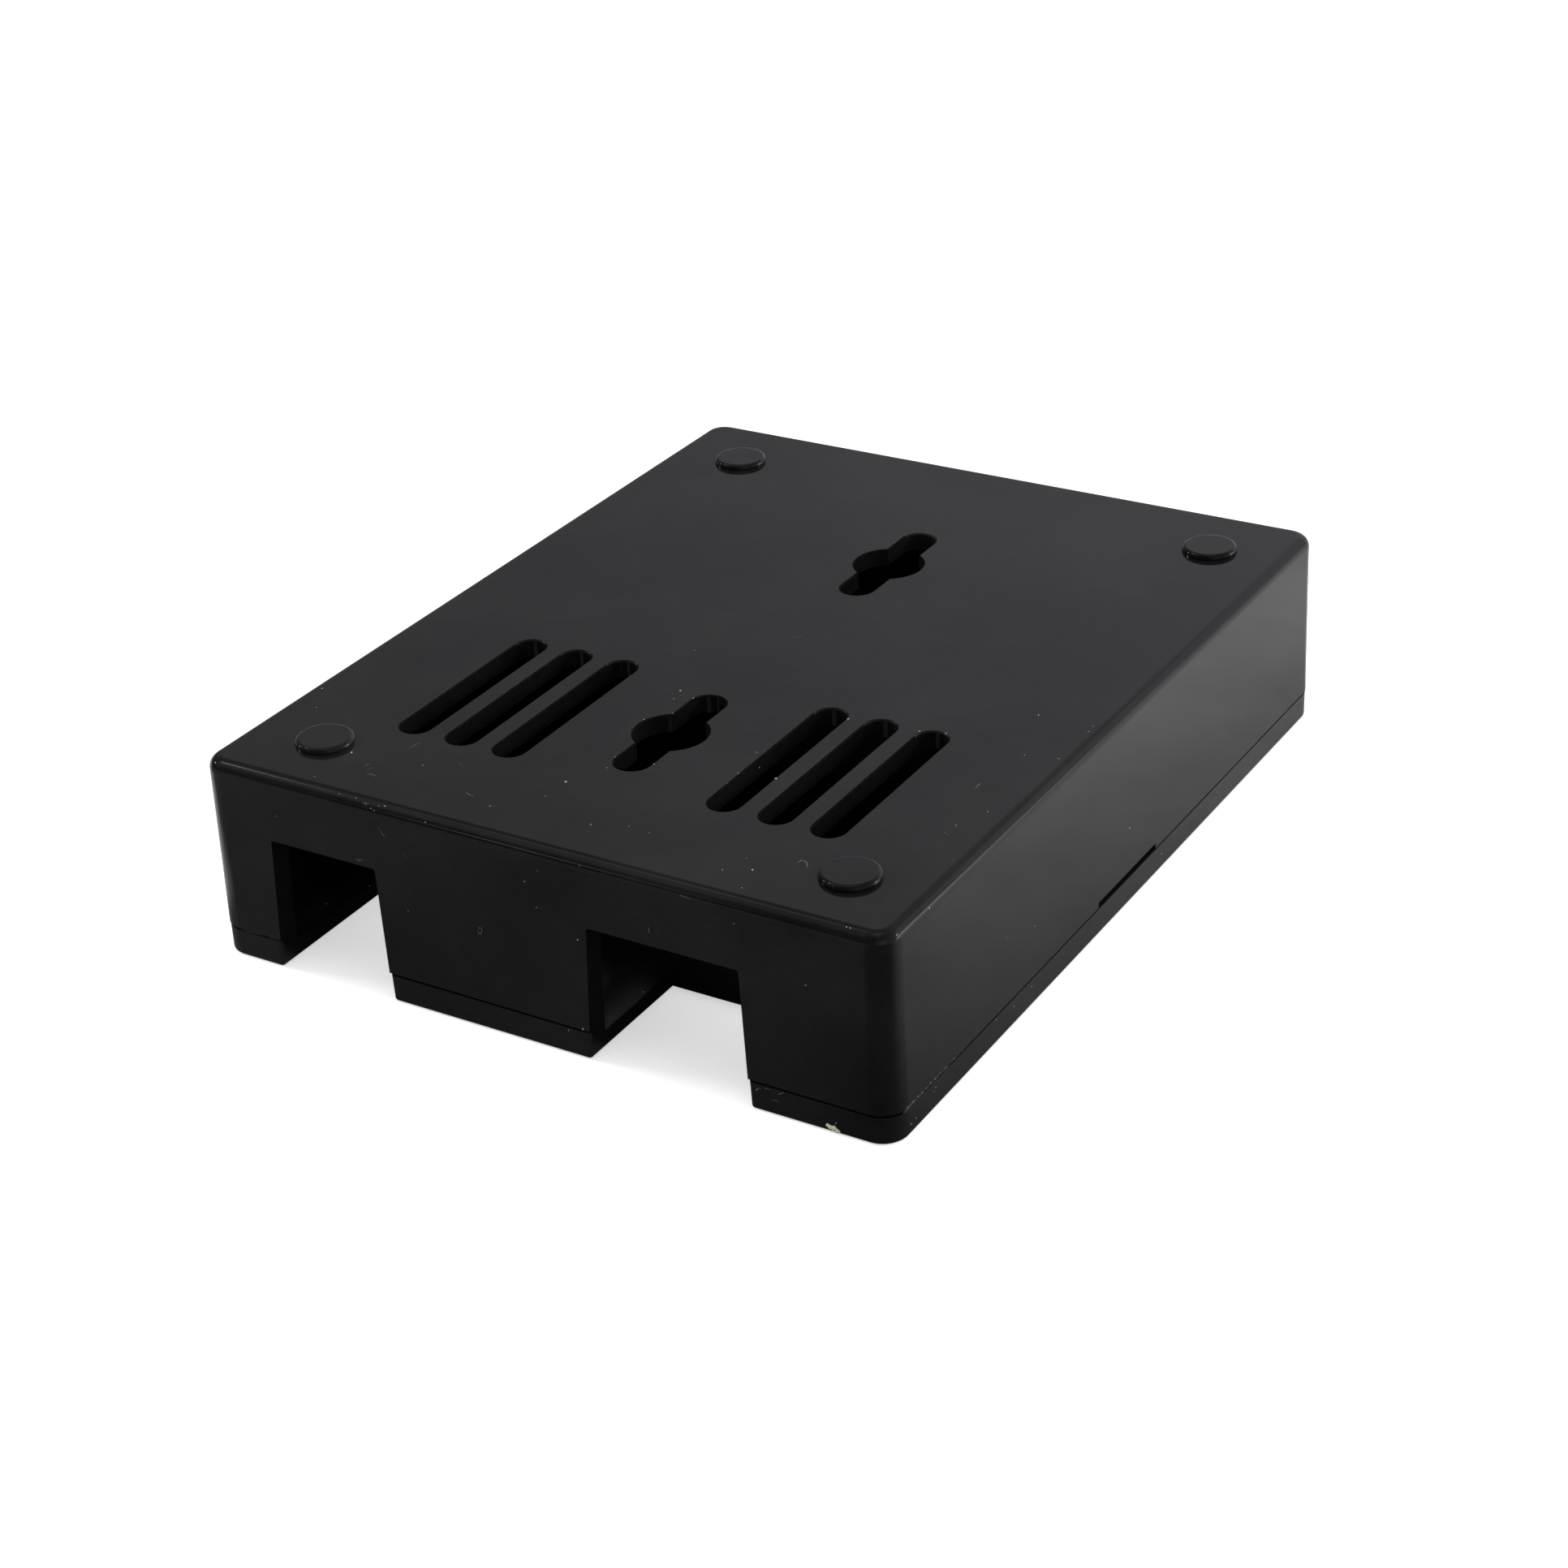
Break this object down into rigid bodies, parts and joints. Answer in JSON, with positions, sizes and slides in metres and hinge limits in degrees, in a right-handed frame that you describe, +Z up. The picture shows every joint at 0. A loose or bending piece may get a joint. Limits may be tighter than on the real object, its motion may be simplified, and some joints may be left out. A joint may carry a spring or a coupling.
{
  "type": "circuit board case",
  "caption": "Flat gloss black snap case for a microcontroller board: deep vented base shell with feet and wall-mounting keyholes, thin lid, socket cut-outs in the front.",
  "frame": {"origin": "bottom centre of the lid, the face that the case lies on in the picture", "axes": "+Z up, out of the base's outer face with its feet, since the case lies upside down on its lid; -Y out of the front wall with the two socket cut-outs; +X along that wall, to the right seen from the front"},
  "size_m": [0.0608, 0.076, 0.0176],
  "materials": {
    "black_plastic": "gloss moulded, polished tool, faint dust and hairline scratches"
  },
  "bodies": {
    "lid": {"lid": "black_plastic"},
    "base_shell": {"base_shell": "black_plastic"}
  },
  "joints": [
    {"name": "shell_lift", "type": "slide", "parent": "lid", "child": "base_shell", "axis": [0, 0, 1], "range_m": [0, 0.04]}
  ]
}
